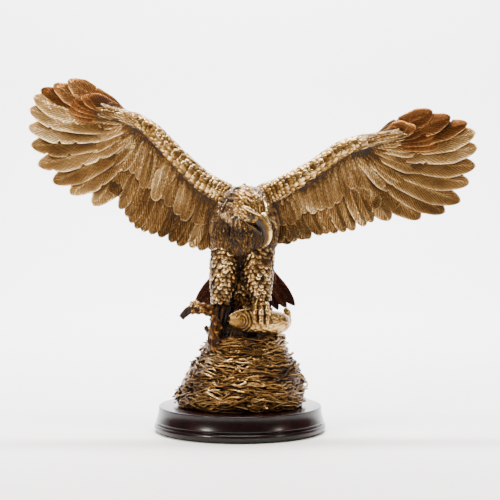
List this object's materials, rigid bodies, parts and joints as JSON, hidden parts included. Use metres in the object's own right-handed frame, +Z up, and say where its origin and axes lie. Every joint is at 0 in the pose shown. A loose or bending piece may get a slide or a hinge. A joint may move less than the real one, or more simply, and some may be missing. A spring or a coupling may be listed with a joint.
{
  "type": "eagle statuette",
  "caption": "Cast bronze eagle with raised wings, gripping a branch stub and a fish on a nest mound, bolted to a round wooden plinth.",
  "frame": {"origin": "centre of the felt pad's underside", "axes": "+Z up, the eagle looks towards -Y, +X is the eagle's own left"},
  "size_m": [0.5286, 0.195, 0.4027],
  "materials": {
    "bronze": "antique gold patina, dark brown in the recesses",
    "pale_bronze": "rubbed bright, brown in the recesses",
    "dark_bronze": "dark brown patina",
    "wood": "dark mahogany stain under clear gloss lacquer",
    "felt": "pressed wool felt",
    "steel": "zinc plated"
  },
  "bodies": {
    "root": {"felt_pad": "felt", "wooden_plinth": "wood", "plinth_bolt_1": "steel", "plinth_washer_1": "steel", "plinth_bolt_2": "steel", "plinth_washer_2": "steel", "plinth_bolt_3": "steel", "plinth_washer_3": "steel", "nest_mound": "bronze", "branch": "bronze", "fish": "pale_bronze", "right_foot": "pale_bronze", "right_thigh": "bronze", "right_leg_rod": "steel", "right_upper_nut": "steel", "right_lower_nut": "steel", "right_wing": "bronze", "right_wing_pin": "steel", "left_foot": "pale_bronze", "left_thigh": "bronze", "left_leg_rod": "steel", "left_upper_nut": "steel", "left_lower_nut": "steel", "left_wing": "bronze", "left_wing_pin": "steel", "body": "bronze", "tail": "dark_bronze", "tail_pin": "steel", "head": "bronze", "head_grub_screw": "steel"}
  },
  "joints": []
}
